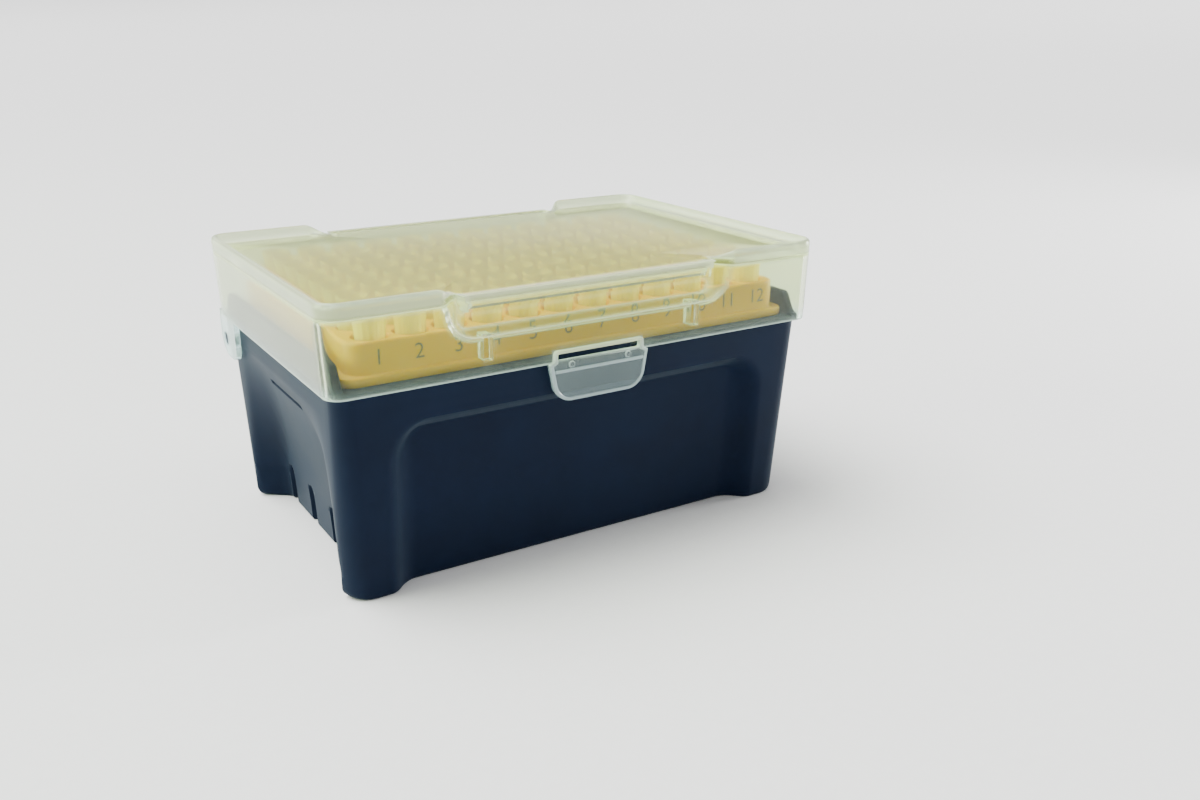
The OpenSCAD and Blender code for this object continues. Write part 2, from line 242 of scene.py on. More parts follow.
def rod(name, at, radius, length, sides, rounding=0.0, turn=(0, math.pi / 2, 0)):
    # a short round bar, in mm; it lies along X unless it is given another turn
    quiet()
    bpy.ops.mesh.primitive_cylinder_add(
        vertices=sides, radius=radius * mm, depth=length * mm, location=[a * mm for a in at], rotation=turn,
    )
    piece = keepPlace(name)
    if rounding:
        bpy.ops.object.mode_set(mode="EDIT")
        roundEdges(piece, rounding, 3, lambda e: any(len(f.verts) > 8 for f in e.link_faces))
        bpy.ops.object.mode_set(mode="OBJECT")
    return piece


def weld(piece, extra, how="UNION"):
    # melts one closed solid into another, or cuts it out
    step = piece.modifiers.new("weld", "BOOLEAN")
    step.operation = how
    step.solver = "MANIFOLD"
    step.object = extra
    pick(piece)
    bpy.ops.object.modifier_apply(modifier=step.name)
    bpy.data.objects.remove(extra)


def joinAll(pieces, name):
    quiet()
    for piece in pieces:
        piece.select_set(True)
    bpy.context.view_layer.objects.active = pieces[0]
    bpy.ops.object.join()
    whole = bpy.context.object
    whole.name = whole.data.name = name
    return whole


def finishPiece(piece, nodes, body, material, angle):
    pick(piece)
    bpy.ops.object.mode_set(mode="EDIT")
    faceOut()
    bpy.ops.object.mode_set(mode="OBJECT")
    bpy.ops.object.shade_smooth_by_angle(angle=math.radians(angle))
    piece.data.materials.clear()
    piece.data.materials.append(material)
    if nodes:
        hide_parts(*nodes)
    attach(piece, body)
    piece.data.calc_loop_triangles()
    print(f"{piece.name}: {len(piece.data.loop_triangles)} triangles")


def toLinear(code):
    # sRGB hex to the linear colour that a shader takes
    parts = [int(code[i:i + 2], 16) / 255 for i in (1, 3, 5)]
    return tuple(c / 12.92 if c <= 0.04045 else ((c + 0.055) / 1.055) ** 2.4 for c in parts) + (1.0,)


def addNode(tree, kind, settings=None, links=None):
    # a node with its settings, a ramp's stops among them, and its inputs joined to other nodes' outputs
    node = tree.nodes.new(kind)
    for key, value in (settings or {}).items():
        if key == "stops":
            for stop, (position, code) in zip(node.color_ramp.elements, value):
                stop.position, stop.color = position, toLinear(code)
        elif isinstance(key, int) or key in node.inputs:
            node.inputs[key].default_value = value
        else:
            setattr(node, key, value)
    for key, (other, output) in (links or {}).items():
        tree.links.new(other.outputs[output], node.inputs[key])
    return node


def newFinish(name):
    material = bpy.data.materials.new(name)
    material.use_nodes = True
    material.node_tree.nodes.clear()
    return material, material.node_tree


def letLampsThrough(tree, shader, tint):
    # clear plastic passes lamp light on to what it covers, less its own haze
    path = addNode(tree, "ShaderNodeLightPath")
    passed = addNode(tree, "ShaderNodeBsdfTransparent", {"Color": toLinear(tint)})
    both = addNode(tree, "ShaderNodeMixShader", {},
                   {0: (path, "Is Shadow Ray"), 1: (shader, "BSDF"), 2: (passed, "BSDF")})
    addNode(tree, "ShaderNodeOutputMaterial", {}, {"Surface": (both, "Shader")})


def navyMoulding():
    # injection-moulded polypropylene dyed navy, from a spark-eroded mould: its fine grain scatters a little
    # light at a slant, so edges and the ends look paler, and the dye clouds faintly over 14 mm, 70 to a metre
    material, tree = newFinish("navy_moulded_polypropylene")
    place = addNode(tree, "ShaderNodeTexCoord")
    cloud = addNode(tree, "ShaderNodeTexNoise", {"Scale": 70.0, "Detail": 3.0},
                    {"Vector": (place, "Object")})
    tint = addNode(tree, "ShaderNodeValToRGB", {"stops": ((0.3, "#081326"), (0.75, "#0a172c"))},
                   {"Fac": (cloud, "Fac")})
    gloss = addNode(tree, "ShaderNodeMapRange", {"To Min": 0.46, "To Max": 0.56},
                    {"Value": (cloud, "Fac")})
    # the real grain is about 0.05 mm, drawn at 0.4 mm, 2600 to a metre, so that it just shows
    grain = addNode(tree, "ShaderNodeTexNoise", {"Scale": 2600.0, "Detail": 2.0},
                    {"Vector": (place, "Object")})
    relief = addNode(tree, "ShaderNodeBump", {"Strength": 0.18, "Distance": 0.06 * mm},
                     {"Height": (grain, "Fac")})
    shader = addNode(
        tree, "ShaderNodeBsdfPrincipled",
        {"IOR": 1.49, "Specular IOR Level": 0.06, "Sheen Weight": 0.075, "Sheen Roughness": 0.45,
         "Sheen Tint": (0.75, 0.97, 1.0, 1.0)},
        {"Base Color": (tint, "Color"), "Roughness": (gloss, "Result"), "Normal": (relief, "Normal")},
    )
    addNode(tree, "ShaderNodeOutputMaterial", {}, {"Surface": (shader, "BSDF")})
    return material


def yellowMoulding():
    # the same polypropylene in warm yellow: thin webs let some light through, so it glows softly, and the
    # dye clouds over 17 mm, 60 to a metre
    material, tree = newFinish("yellow_moulded_polypropylene")
    place = addNode(tree, "ShaderNodeTexCoord")
    cloud = addNode(tree, "ShaderNodeTexNoise", {"Scale": 60.0, "Detail": 3.0},
                    {"Vector": (place, "Object")})
    tint = addNode(tree, "ShaderNodeValToRGB", {"stops": ((0.3, "#c69804"), (0.75, "#d0a30a"))},
                   {"Fac": (cloud, "Fac")})
    # grain as on the base, and drawn as coarse
    grain = addNode(tree, "ShaderNodeTexNoise", {"Scale": 2600.0, "Detail": 2.0},
                    {"Vector": (place, "Object")})
    relief = addNode(tree, "ShaderNodeBump", {"Strength": 0.15, "Distance": 0.05 * mm},
                     {"Height": (grain, "Fac")})
    shader = addNode(
        tree, "ShaderNodeBsdfPrincipled",
        {"IOR": 1.49, "Roughness": 0.34, "Specular IOR Level": 0.2,
         "Subsurface Weight": 0.15, "Subsurface Scale": mm},
        {"Base Color": (tint, "Color"), "Normal": (relief, "Normal")},
    )
    addNode(tree, "ShaderNodeOutputMaterial", {}, {"Surface": (shader, "BSDF")})
    return material


def milkyLid():
    # undyed polypropylene from a polished mould: clear enough to read the rack through, with a pale haze
    # that follows the flow of the plastic over 22 mm, 45 to a metre
    material, tree = newFinish("milky_clear_polypropylene")
    place = addNode(tree, "ShaderNodeTexCoord")
    flow = addNode(tree, "ShaderNodeTexNoise", {"Scale": 45.0, "Detail": 2.0},
                   {"Vector": (place, "Object")})
    haze = addNode(tree, "ShaderNodeValToRGB", {"stops": ((0.3, "#dfebc9"), (0.75, "#e9f2d5"))},
                   {"Fac": (flow, "Fac")})
    ripple = addNode(tree, "ShaderNodeBump", {"Strength": 0.05, "Distance": 0.2 * mm},
                     {"Height": (flow, "Fac")})
    # a slanting look goes through more plastic, so walls seen edge-on and rounded rims are milkier
    slant = addNode(tree, "ShaderNodeLayerWeight", {"Blend": 0.5})
    seen = addNode(tree, "ShaderNodeMapRange",
                   {"From Min": 0.2, "From Max": 0.9, "To Min": 0.995, "To Max": 0.88},
                   {"Value": (slant, "Facing")})
    # painted highlight: the lid is less clear, so whiter, at tight bends, the rim and the plate's edge, from
    # the mark that markEdges writes, with frost on the ears and tab
    rim = addNode(tree, "ShaderNodeAttribute", {"attribute_name": "edgeHighlightAndFrost"})
    clearness = addNode(tree, "ShaderNodeMath", {"operation": "MULTIPLY_ADD", 1: -0.4, "use_clamp": True},
                        {0: (rim, "Fac"), 2: (seen, "Result")})
    # painted glow: the haze of the flat plate, which lies just over the tips, is tinted warm yellow to stand
    # for their light shining up through it; its rim is left out
    height = addNode(tree, "ShaderNodeSeparateXYZ", {}, {"Vector": (place, "Object")})
    plate = addNode(tree, "ShaderNodeMapRange", {"From Min": 64.0 * mm, "From Max": 64.6 * mm},
                    {"Value": (height, "Z")})
    paintedTipGlow = addNode(tree, "ShaderNodeMath", {"operation": "MULTIPLY_ADD", 1: -1.1, "use_clamp": True},
                   {0: (rim, "Fac"), 2: (plate, "Result")})
    # painted: haze over something dark looks bluish, so the haze is tinted bluish towards the foot of the
    # walls and on the tab, where the dark navy base lies behind it
    foot = addNode(tree, "ShaderNodeMapRange", {"From Min": 52.0 * mm, "From Max": 47.0 * mm},
                   {"Value": (height, "Z")})
    paintedBluishFoot = addNode(tree, "ShaderNodeMix", {"data_type": "RGBA", 7: toLinear("#d2e8ea")},
                   {0: (foot, "Result"), 6: (haze, "Color")})
    # the painted yellow glow of the plate is laid over the painted bluish foot
    tone = addNode(tree, "ShaderNodeMix", {"data_type": "RGBA", 7: toLinear("#e3eda0")},
                   {0: (paintedTipGlow, "Value"), 6: (paintedBluishFoot, 2)})
    shader = addNode(
        tree, "ShaderNodeBsdfPrincipled",
        {"IOR": 1.49, "Roughness": 0.09, "Specular Tint": (0.4, 0.42, 0.4, 1.0)},
        {"Base Color": (tone, 2), "Transmission Weight": (clearness, "Value"), "Normal": (ripple, "Normal")},
    )
    letLampsThrough(tree, shader, "#fafdf8")
    return material


def clearTip():
    # undyed polypropylene in a thin wall: nearly clear, with bright rims and a faint warm milkiness that
    # changes along the flow over 8 mm, 120 to a metre
    material, tree = newFinish("clear_tip_polypropylene")
    place = addNode(tree, "ShaderNodeTexCoord")
    flow = addNode(tree, "ShaderNodeTexNoise", {"Scale": 120.0, "Detail": 1.0},
                   {"Vector": (place, "Object")})
    haze = addNode(tree, "ShaderNodeValToRGB", {"stops": ((0.0, "#f2e36a"), (1.0, "#f8eb8a"))},
                   {"Fac": (flow, "Fac")})
    shader = addNode(
        tree, "ShaderNodeBsdfPrincipled",
        {"IOR": 1.49, "Roughness": 0.08, "Transmission Weight": 0.55, "Specular Tint": (0.6, 0.6, 0.5, 1.0)},
        {"Base Color": (haze, "Color")},
    )
    letLampsThrough(tree, shader, "#faf7c8")
    return material


def printInk():
    # pad-printed ink: matt, thin enough for the yellow to warm it, with specks of 0.5 mm, 1800 to a metre
    material, tree = newFinish("olive_pad_print")
    place = addNode(tree, "ShaderNodeTexCoord")
    speck = addNode(tree, "ShaderNodeTexNoise", {"Scale": 1800.0}, {"Vector": (place, "Object")})
    tint = addNode(tree, "ShaderNodeValToRGB", {"stops": ((0.0, "#5a5638"), (1.0, "#6d6742"))},
                   {"Fac": (speck, "Fac")})
    shader = addNode(tree, "ShaderNodeBsdfPrincipled", {"Roughness": 0.6}, {"Base Color": (tint, "Color")})
    addNode(tree, "ShaderNodeOutputMaterial", {}, {"Surface": (shader, "BSDF")})
    return material


navy = navyMoulding()
yellow = yellowMoulding()
milky = milkyLid()
clear = clearTip()
ink = printInk()
print("finishes made")


# base box, all in mm: an outline is its half length, half width and corner radius
baseBox = {
    "foot": (59.97, 36.99, 6.0),       # outline at the floor
    "shelf": (61.0, 40.5, 4.5),        # outline at the shelf
    "shelfZ": 49.0,
    "shelfUnder": 47.4,
    "wall": 1.4,
    "floor": 2.0,
    "opening": (53.7, 35.35, 2.5),
    "steady": (52.5, 30.4),            # a wall's middle, up to here, keeps its cuts in line all the way up
    # sunken panels: side and brow are the widths of their slopes, rounded is how softly those begin and end
    "frontPanel": {"half": 50.3, "top": 40.8, "corner": 10.0, "side": 8.0, "brow": 3.6, "depth": 4.4,
                   "rounded": (0.15, 0.15), "moreAtSides": (0.2, 0.5)},
    "endPanel": {"half": 32.6, "top": 42.5, "depth": 7.4, "side": 6.5, "widen": 0.5, "widenFrom": 8,
                 "curve": 2.2, "rounded": (0.25, 0.35)},
    "panelInside": (0.6, 0.8),         # how much wider a panel is on the inner face: front and back, ends
    "grooves": {"at": (-23.4, -7.8, 7.8, 23.4), "half": 2.0, "top": 10.5, "depth": 1.0,
                "rounded": (0.3, 0.3)},
    "slot": {"half": 11.5, "z": 37.6, "high": 0.75, "depth": 0.6, "rounded": (0.4, 0.4)},
    "slope": 0.6,                      # width of the sloping side of a groove or the slot
    "footRound": (2.5, 0.65),          # rounding at the floor: ends, long sides
    "thinFoot": (0.8, 5.0),            # and where an end panel cuts this deep into it
    "upstand": {"x": (58.25, 60.25), "half": 39.6, "from": 48.2, "rounding": 0.45},
    "shoulder": ((35.0, baseTop), (35.6, 54.3), (36.2, 53.5), (36.8, 52.4), (37.4, 51.3), (38.1, 50.3),
                 (39.0, 49.7), (40.0, 49.3)),
    "shoulderCuts": (20, 35, 35.3, 35.6, 35.9, 36.2, 36.8, 37.4, 38.1, 38.6, 39.1),
    "pin": {"x": 60.4, "radius": 1.75, "length": 4.0, "rounding": 0.4},
    "catch": {"half": 9.6, "out": 0.5, "deep": 1.3, "z": (47.8, 50.2), "rounding": 0.35},
}


def frontDent(x, z, grow):
    # how deep the sunken panel of a long side is here
    panel = baseBox["frontPanel"]
    dx = max(0.0, abs(x) - (panel["half"] - panel["corner"]))
    dz = max(0.0, z - (panel["top"] - panel["corner"]))
    away = math.hypot(dx, dz)
    if away < 1e-6:
        return panel["depth"]
    lean = (dx / away) ** 2
    width = panel["side"] * lean + panel["brow"] * (1 - lean)
    soft, hard = [plain + more * lean for plain, more in zip(panel["rounded"], panel["moreAtSides"])]
    return panel["depth"] * ease((panel["corner"] + grow - away) / width, soft, hard)


def endDent(y, z, grow, outside):
    # the same for a short side, which also has grooves at its foot and a slot near its top
    panel, grooves, slot = baseBox["endPanel"], baseBox["grooves"], baseBox["slot"]
    if z >= panel["top"]:
        return 0.0
    width = panel["side"] + panel["widen"] * max(0.0, z - panel["widenFrom"])
    side = ease((panel["half"] + grow - abs(y)) / width, *panel["rounded"])
    dent = panel["depth"] * (1 - (z / panel["top"]) ** panel["curve"]) * side
    if not outside:
        return dent
    for at in grooves["at"]:
        rise = max(0.0, z - (grooves["top"] - grooves["half"]))
        inside = grooves["half"] - math.hypot(y - at, rise)
        dent += grooves["depth"] * ease(inside / baseBox["slope"], *grooves["rounded"])
    inside = min(slot["high"] - abs(z - slot["z"]), slot["half"] - abs(y))
    return dent + slot["depth"] * ease(inside / baseBox["slope"], *slot["rounded"])


def baseRing(z, inset):
    share = z / baseBox["shelfZ"]
    foot, shelf = baseBox["foot"], baseBox["shelf"]
    halfX, halfY, corner = [foot[i] + (shelf[i] - foot[i]) * share for i in range(3)]
    return halfX - inset, halfY - inset, max(corner - inset, 0.6)


def basePlace(level, x, y):
    skin, inset, z = baseLevels[level]
    ring = inset if isinstance(inset, tuple) else baseRing(z, inset)
    px, py, outX, outY = onRing(x, y, baseStart, ring, baseBox["steady"])
    flat = max(abs(outX), abs(outY)) > 0.999
    onLongSide = abs(outY) > 0.5
    dent = 0.0
    if skin == "outside":
        if flat:
            dent = frontDent(px, z, 0.0) if onLongSide else endDent(py, z, 0.0, True)
        endRound, sideRound = baseBox["footRound"]
        if flat and not onLongSide:
            thin, deep = baseBox["thinFoot"]
            endRound -= (endRound - thin) * min(1.0, dent / deep)
        foot = sideRound + (endRound - sideRound) * outX ** 2
        if z < foot:
            dent += foot - math.sqrt(max(0.0, foot ** 2 - (foot - z) ** 2))
    elif skin == "inside" and flat:
        growLong, growEnd = baseBox["panelInside"]
        dent = frontDent(px, z, growLong) if onLongSide else endDent(py, z, growEnd, False)
    return px - outX * dent, py - outY * dent, z


# each level of the tube: the skin it belongs to, its inset or its own outline, and its height
baseStart = baseRing(5.0, 0.0)
footZ = [0.0, 0.1, 0.3, 0.6, 1.0, 1.5, 2.0, 2.5]
sideZ = [4, 5.5, 7, 8.3, 9.0, 9.6, 10.1, 10.5, 10.9, 12, 14, 16, 18, 20, 22, 24, 26, 28, 30, 31.5, 33, 34.5,
         35.5, 36.3, 36.9, 37.05, 37.2, 37.4, 37.6, 37.8, 38.0, 38.15, 38.3, 38.8, 39.4, 40, 40.6, 41.2, 41.8,
         42.5, 43.2, 44.5, 46.5, 48, 48.5]
insideZ = [44, 42.5, 41, 39.5, 38, 36, 34, 32, 29, 26, 22, 18, 14, 10.5, 7, 4, 2.9]
shelfZ, openTo, wallIn, floorZ = (baseBox[key] for key in ("shelfZ", "shelfUnder", "wall", "floor"))
baseLevels = [("under", (46.0, 26.0, 3.0), 0.0)]
baseLevels += [("outside", 0.0, z) for z in footZ + sideZ]
baseLevels += [("rim", inset, shelfZ - drop)
               for inset, drop in ((0.02, 0.34), (0.09, 0.19), (0.2, 0.08), (0.36, 0.01), (0.5, 0.0))]
baseLevels += [("rim", outline, shelfZ)
               for outline in ((58.9, 38.6, 3.4), (56.0, 36.6, 3.0), (54.1, 35.75, 2.8))]
baseLevels += [("rim", (53.8, 35.45, 2.6), 48.9), ("rim", baseBox["opening"], 48.6),
               ("rim", baseBox["opening"], 47.6), ("rim", (53.9, 35.55, 2.6), openTo)]
baseLevels += [("inside", 1.8, openTo), ("inside", wallIn, 47.0)]
baseLevels += [("inside", wallIn, z) for z in insideZ]
baseLevels += [("inside", 1.6, 2.3), ("inside", 2.3, floorZ), ("under", (44.0, 24.0, 3.0), floorZ)]
# upright cuts, close together where a panel's side or a groove turns
frontCuts = [0, 5, 10, 15, 20, 25, 30, 34, 37, 39.5, 41.3, 42.2, 43.1, 44, 44.9, 45.8, 46.7, 47.6, 48.5, 49.4,
             50.1, 50.7, 51.3, 52, 52.5]
endCuts = [0, 1.5, 3, 4.5]
for at in baseBox["grooves"]["at"][2:]:
    endCuts += [at + side * step for side in (-1, 1) for step in (0.5, 1.1, 1.4, 1.6, 1.8, 2.0)]
endCuts += [10.6, 11.1, 11.3, 11.5, 12.5, 14, 15.5, 17, 18.5, 20, 26.5, 27.5, 28.5, 29.5, 30.4, 31.0]


def upstandTop(y):
    # height of an upstand along its length, with its sloping shoulder and flared foot
    reach = abs(y)
    points = baseBox["shoulder"]
    if reach < points[0][0]:
        return points[0][1]
    for (y0, z0), (y1, z1) in zip(points, points[1:]):
        if reach <= y1:
            return z0 + (z1 - z0) * (reach - y0) / (y1 - y0)
    return points[-1][1]


def makeUpstand(side):
    # the upright wall that keeps one end of the rack
    upstand = baseBox["upstand"]
    near, far = sorted(side * v for v in upstand["x"])
    wall = bar("upstand", (near, -upstand["half"], upstand["from"]), (far, upstand["half"], baseTop))
    bpy.ops.object.mode_set(mode="EDIT")
    cutAt(1, mirrored(baseBox["shoulderCuts"]))

    def slope(v):
        if v.co.z > 52 * mm:
            v.co.z = upstandTop(v.co.y / mm) * mm

    moveEach(wall, slope)
    roundEdges(wall, upstand["rounding"], 3, lambda e: all(v.co.z > shelfZ * mm for v in e.verts)
               and span(e, 0) < 1e-6 and span(e, 1) > 1e-6)
    bpy.ops.object.mode_set(mode="OBJECT")
    return wall


def makeBase():
    base = wallTube("base_box", baseStart, frontCuts, endCuts, len(baseLevels))
    fold(base, basePlace)
    print("base walls folded")
    pin, catch = baseBox["pin"], baseBox["catch"]
    for side in (-1, 1):
        weld(base, makeUpstand(side))
        weld(base, rod("pin", (side * pin["x"], hingeY, hingeZ), pin["radius"], pin["length"], 40,
                       pin["rounding"]))
    front, (low, high) = -baseBox["shelf"][1], catch["z"]
    weld(base, bar("catch", (-catch["half"], front - catch["out"], low),
                   (catch["half"], front + catch["deep"], high), catch["rounding"]))
    finishPiece(base, ["base"], caseBody, navy, angle=35)


# yellow rack, in mm
rackPlate = {
    "pitch": round((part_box("tips_column_02")[1].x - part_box("tips_column_01")[1].x) / mm, 2),
    "columns": 12,
    "rows": 8,
    # one hole from the underside up: radius, height; None is the square edge of its cell
    "hole": ((None, rackUnder), (2.65, rackUnder), (2.45, 46.7), (2.45, 48.6), (3.5, 48.6), (3.7, 48.8),
             (3.7, 56.9), (3.77, 57.35), (3.9, 57.7), (4.0, 57.88), (4.1, rackTop), (None, rackTop)),
    # the block round the holes, its flange and its spigot, from the top down: outline, height
    "outside": (((55.0, 35.75, 2.9), rackTop), ((55.35, 35.9, 3.15), 57.9), ((55.62, 36.02, 3.35), 57.65),
                ((55.76, 36.08, 3.46), 57.3), ((55.8, 36.1, 3.5), 56.8), ((55.8, 36.1, 3.5), 51.5),
                ((55.9, 36.2, 3.5), 51.15), ((56.2, 36.45, 3.5), 51.0), ((57.4, 36.85, 3.0), 51.0),
                ((57.75, 37.1, 3.0), 50.9), ((57.9, 37.2, 3.0), 50.6), ((57.9, 37.2, 3.0), 49.3),
                ((57.7, 37.05, 2.9), 49.05), ((57.3, 36.75, 2.7), 49.05), ((53.7, 35.2, 2.3), 49.05),
                ((53.35, 35.0, 2.2), 48.8), ((53.35, 35.0, 2.2), 47.2), ((53.0, 34.8, 2.1), 46.6)),
    "topRing": (54.6, 35.7, 2.7),      # outlines that the edge of the holes' cells is drawn out to
    "underRing": (52.6, 34.5, 2.0),
    # the spots of a corner cell, by how far round the corner they are, and their turns on the rounded corner
    "cornerReach": (2.0, 3.3),
    "cornerTurns": ((1.493, 81), (0.0, 57), (-1.493, 33), (-2.636, 9)),
}


def makeRack():
    pitch, columns, rows = rackPlate["pitch"], rackPlate["columns"], rackPlate["rows"]
    hole, outside = rackPlate["hole"], rackPlate["outside"]
    endX, endY = columns * pitch / 2, rows * pitch / 2
    nearTop, tiny = (rackTop - 1) * mm, 0.01 * mm
    rack = ringOf("rack_plate", 32, 3.0 * mm)
    growRings(len(hole) - 1)

    def layHole(v):
        radius, z = hole[round(v.co.z)]
        way = Vector((v.co.x, v.co.y)).normalized()
        if radius is None:
            way = way / max(abs(way.x), abs(way.y)) * pitch / 2
        else:
            way = way * radius
        v.co = Vector((way.x, way.y, z)) * mm

    moveEach(rack, layHole)
    bpy.ops.mesh.select_mode(type="VERT")
    bpy.ops.mesh.select_all(action="SELECT")
    bpy.ops.transform.translate(value=((pitch / 2 - endX) * mm, (pitch / 2 - endY) * mm, 0))
    bpy.ops.object.mode_set(mode="OBJECT")
    for count, way in ((columns, (pitch * mm, 0, 0)), (rows, (0, pitch * mm, 0))):
        step = rack.modifiers.new("holes", "ARRAY")
        step.count = count
        step.use_relative_offset = False
        step.use_constant_offset = True
        step.constant_offset_displace = way
        step.use_merge_vertices = True
        step.merge_threshold = tiny
        bpy.ops.object.modifier_apply(modifier=step.name)
    bpy.ops.object.mode_set(mode="EDIT")
    bpy.ops.mesh.select_mode(type="VERT")
    bpy.ops.mesh.select_all(action="SELECT")
    bpy.ops.mesh.remove_doubles(threshold=tiny)
    choose(rack, "EDGE", lambda e: e.is_boundary and all(v.co.z > nearTop for v in e.verts))
    growRings(len(outside))

    def onOutline(x, y, outline):
        # the edge of the holes' cells laid on a rounded outline, with the corner spots evenly spread
        halfX, halfY, corner = outline
        flatX, flatY = [end - reach for end, reach in zip((endX, endY), rackPlate["cornerReach"])]
        sideX, sideY = math.copysign(1, x), math.copysign(1, y)
        onLongSide = abs(y) > endY - 0.01
        if abs(x) > flatX and abs(y) > flatY:
            along = endX - abs(x) if onLongSide else abs(y) - endY
            turn = math.radians(min(rackPlate["cornerTurns"], key=lambda spot: abs(spot[0] - along))[1])
            return (sideX * (halfX - corner + corner * math.cos(turn)),
                    sideY * (halfY - corner + corner * math.sin(turn)))
        if onLongSide:
            return x * min(1, (halfX - corner) / flatX), sideY * halfY
        return sideX * halfX, y * min(1, (halfY - corner) / flatY)

    def layEdge(v):
        level = int(v.co.z + 0.5) - 1
        onEdge = abs(abs(v.co.x) - endX * mm) < 1e-6 or abs(abs(v.co.y) - endY * mm) < 1e-6
        if level >= 0:
            outline, z = outside[level]
        elif onEdge and v.co.z > nearTop:
            outline, z = rackPlate["topRing"], rackTop
        elif onEdge:
            outline, z = rackPlate["underRing"], rackUnder
        else:
            return
        px, py = onOutline(v.co.x / mm, v.co.y / mm, outline)
        v.co = Vector((px, py, z)) * mm

    moveEach(rack, layEdge)
    closeWithBridge(rack)
    finishPiece(rack, ["rack"], caseBody, yellow, angle=40)


# clear tips, in mm
tipShape = {
    "ribs": 16,
    "ribHeight": 0.2,
    "ribWave": (0.0, 0.6, 1.0, 0.6),   # how deep the four spots from one rib to the next lie
    "ribbed": (1.0, 14.2),             # depths between which the collar has its ribs
    # outside from the mouth down: depth below the top, radius
    "outside": ((0.0, 3.38), (0.05, 3.5), (0.2, 3.55), (0.8, 3.54), (1.1, 3.52), (5.0, 3.31), (10.0, 3.05),
                (14.0, 2.84), (14.4, 2.78), (14.6, 2.6), (14.75, 2.27), (15.0, 2.25), (21.1, 2.02),
                (21.4, 1.96), (28.2, 1.6), (28.5, 1.54), (40.3, 0.95), (40.6, 0.9), (50.3, 0.4), (50.5, 0.36)),
    # inside from the point up
    "inside": ((50.5, 0.24), (40.4, 0.5), (28.3, 1.05), (15.0, 1.65), (13.0, 2.1), (5.0, 2.5), (1.0, 2.75),
               (0.25, 2.9), (0.0, 3.1)),
}


def makeTip():
    rings = [(depth, radius, True) for depth, radius in tipShape["outside"]]
    rings += [(depth, radius, False) for depth, radius in tipShape["inside"]]
    wave = tipShape["ribWave"]
    sides = tipShape["ribs"] * len(wave)
    low, high = tipShape["ribbed"]
    tip = ringOf("tip", sides, mm)
    growRings(len(rings) - 1)

    def lay(v):
        depth, radius, outer = rings[round(v.co.z)]
        turn = math.atan2(v.co.y, v.co.x)
        if outer and low < depth < high:
            radius -= tipShape["ribHeight"] * wave[round(turn / (2 * math.pi) * sides) % len(wave)]
        v.co = Vector((radius * math.cos(turn), radius * math.sin(turn), tipTop - depth)) * mm

    moveEach(tip, lay)
    closeWithBridge(tip)
    return tip


def makeTips():
    # one tip, copied into twelve columns of eight
    tip = makeTip()
    pitch, columns, rows = rackPlate["pitch"], rackPlate["columns"], rackPlate["rows"]
    for column in range(columns):
        copies = []
        for row in range(rows):
            copy = tip.copy()
            copy.data = tip.data.copy()
            bpy.context.collection.objects.link(copy)
            copy.data.transform(Matrix.Translation((
                (column - (columns - 1) / 2) * pitch * mm, (row - (rows - 1) / 2) * pitch * mm, 0)))
            copies.append(copy)
        line = joinAll(copies, f"tips_{column + 1:02d}")
        finishPiece(line, [f"tips_column_{column + 1:02d}"], caseBody, clear, angle=50)
    bpy.data.objects.remove(tip)


# milky lid, in mm
lidShell = {
    "outline": (lidHigh[0], lidHigh[1], 4.0),
    "steady": (57.0, 36.0),            # as on the base
    "flare": 0.7,                      # how much further out the walls stand at the top than at the foot
    "wall": 1.3,
    "scoopWall": 1.25,
    "top": lidHigh[2],
    "foot": 48.2,
    "plateTop": 66.1,
    "plateUnder": 64.7,
    # the finger scoop: side and ledge are the widths of its slopes
    "scoop": {"half": 38.3, "z": 57.0, "lean": 0.275, "corner": 5.0, "depth": 4.0, "side": 4.4, "ledge": 1.3,
              "upTo": 66.0, "rounded": (0.22, 0.22)},
    # where the rim drops to the plate, and the share of it that is left
    "notch": {"from": 33.0, "to": 38.9, "left": 0.07, "rounded": (0.45, 0.45)},
    # the hinge ears: each lower corner lies between two places along Y and has its own radius
    "lug": {"front": 28.0, "rear": 41.0, "foot": lidLow[2], "top": 49.5, "roundBelow": 39,
            "corners": ((20, 35, 3.2), (35, 50, 5.5)), "hole": 1.83, "holeLength": 6.0},
    "latch": {"half": 12.9, "footHalf": 11.3, "frameHalf": 11.75, "top": 51.3, "foot": 39.3, "neck": 0.7,
              "face": -42.75, "back": -41.6, "corner": 3.8, "topCorner": 1.0},
    # steps of the bead round the tab's face: inset, then a push outwards
    "bead": ((0.12, 0.2), (0.12, 0.08), (0.4, 0.0), (0.12, -0.08), (0.15, -0.2)),
    "window": {"half": 10.8, "y": (-44.0, -40.0), "z": (48.9, 50.5), "rounding": 0.5},
    "pocket": {"half": 11.2, "from": 47.0, "depth": 1.6},
    "bump": {"x": 7.4, "z": 47.8, "radius": 0.8, "length": 0.8, "rounding": 0.3},
    "ridge": {"half": 11.6, "z": (46.1, 46.8), "out": 0.4, "in": 0.5, "rounding": 0.25},
    "ribs": {"x": 27.0, "wide": 2.2, "y": (-41.2, -37.8), "z": (51.3, 56.4), "rounding": 0.2},
    # how much haze gathers, a painted highlight where edges gather light and frost on the ears and tab: at
    # bends from mild to tight, in radians to a mm, then at the rim, ears and tab
    "edges": {"mild": 0.35, "tight": 1.3, "rim": 0.9, "rimFrom": 66.2, "plateEdgeFrom": 64.4, "ear": 0.5,
              "earFrom": 58, "tab": 0.16, "wallFoot": 47.9},
}


